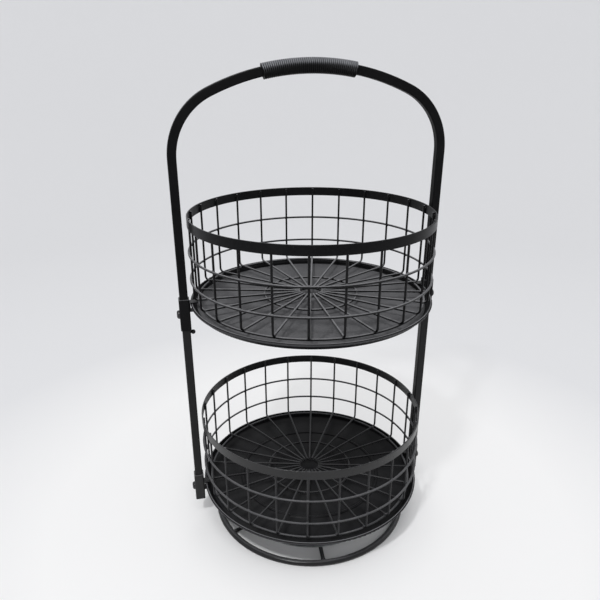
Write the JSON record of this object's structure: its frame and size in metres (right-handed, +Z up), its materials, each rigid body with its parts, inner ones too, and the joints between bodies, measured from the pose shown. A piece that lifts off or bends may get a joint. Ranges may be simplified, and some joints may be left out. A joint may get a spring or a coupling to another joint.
{
  "type": "tiered wire basket",
  "caption": "Tiered round wire basket rack with shallow trays, an arched tube handle with a ribbed grip, and a round foot ring on which the rack turns.",
  "frame": {"origin": "on the floor under the turning axis, at the middle of the foot ring", "axes": "+Z up along the turning axis, +X towards the right leg, -Y towards the front"},
  "size_m": [0.3294, 0.2952, 0.5834],
  "materials": {
    "black_coat": "satin black powder coat",
    "dark_screw": "dark satin",
    "grip_rubber": "matte ribbed",
    "zinc_sheet": "pale zinc-plated sheet",
    "race_steel": "bright rolled steel"
  },
  "bodies": {
    "base": {"foot_ring": "black_coat", "base_bars": "black_coat", "pedestal_flange": "zinc_sheet", "turntable_pedestal": "zinc_sheet", "lower_race": "race_steel", "race_balls": "race_steel"},
    "rack": {"upper_rim_band": "black_coat", "upper_uprights": "black_coat", "upper_floor_spokes": "black_coat", "upper_high_hoop": "black_coat", "upper_low_hoop": "black_coat", "upper_floor_ring": "black_coat", "upper_mid_ring": "black_coat", "upper_hub_ring": "black_coat", "upper_tray": "black_coat", "upper_left_sleeve": "black_coat", "upper_left_bracket": "black_coat", "upper_left_screw": "dark_screw", "upper_right_sleeve": "black_coat", "upper_right_bracket": "black_coat", "upper_right_screw": "dark_screw", "lower_rim_band": "black_coat", "lower_uprights": "black_coat", "lower_floor_spokes": "black_coat", "lower_high_hoop": "black_coat", "lower_low_hoop": "black_coat", "lower_floor_ring": "black_coat", "lower_mid_ring": "black_coat", "lower_hub_ring": "black_coat", "lower_tray": "black_coat", "lower_left_sleeve": "black_coat", "lower_left_bracket": "black_coat", "lower_left_screw": "dark_screw", "lower_right_sleeve": "black_coat", "lower_right_bracket": "black_coat", "lower_right_screw": "dark_screw", "left_leg_tube": "black_coat", "right_leg_tube": "black_coat", "arch_handle": "black_coat", "handle_grip": "grip_rubber", "turntable_plate": "zinc_sheet", "pivot_clip": "race_steel"},
    "left_pin": {"left_catch_pin": "dark_screw"},
    "right_pin": {"right_catch_pin": "dark_screw"}
  },
  "joints": [
    {"name": "turntable_spin", "type": "hinge", "parent": "base", "child": "rack", "pos_m": [0, 0, 0.04085], "axis": [0, 0, 1], "continuous": true},
    {"name": "left_pin_pull", "type": "slide", "parent": "rack", "child": "left_pin", "axis": [1, 0, 0], "range_m": [0, 0.0025]},
    {"name": "right_pin_pull", "type": "slide", "parent": "rack", "child": "right_pin", "axis": [-1, 0, 0], "range_m": [0, 0.0025]}
  ]
}
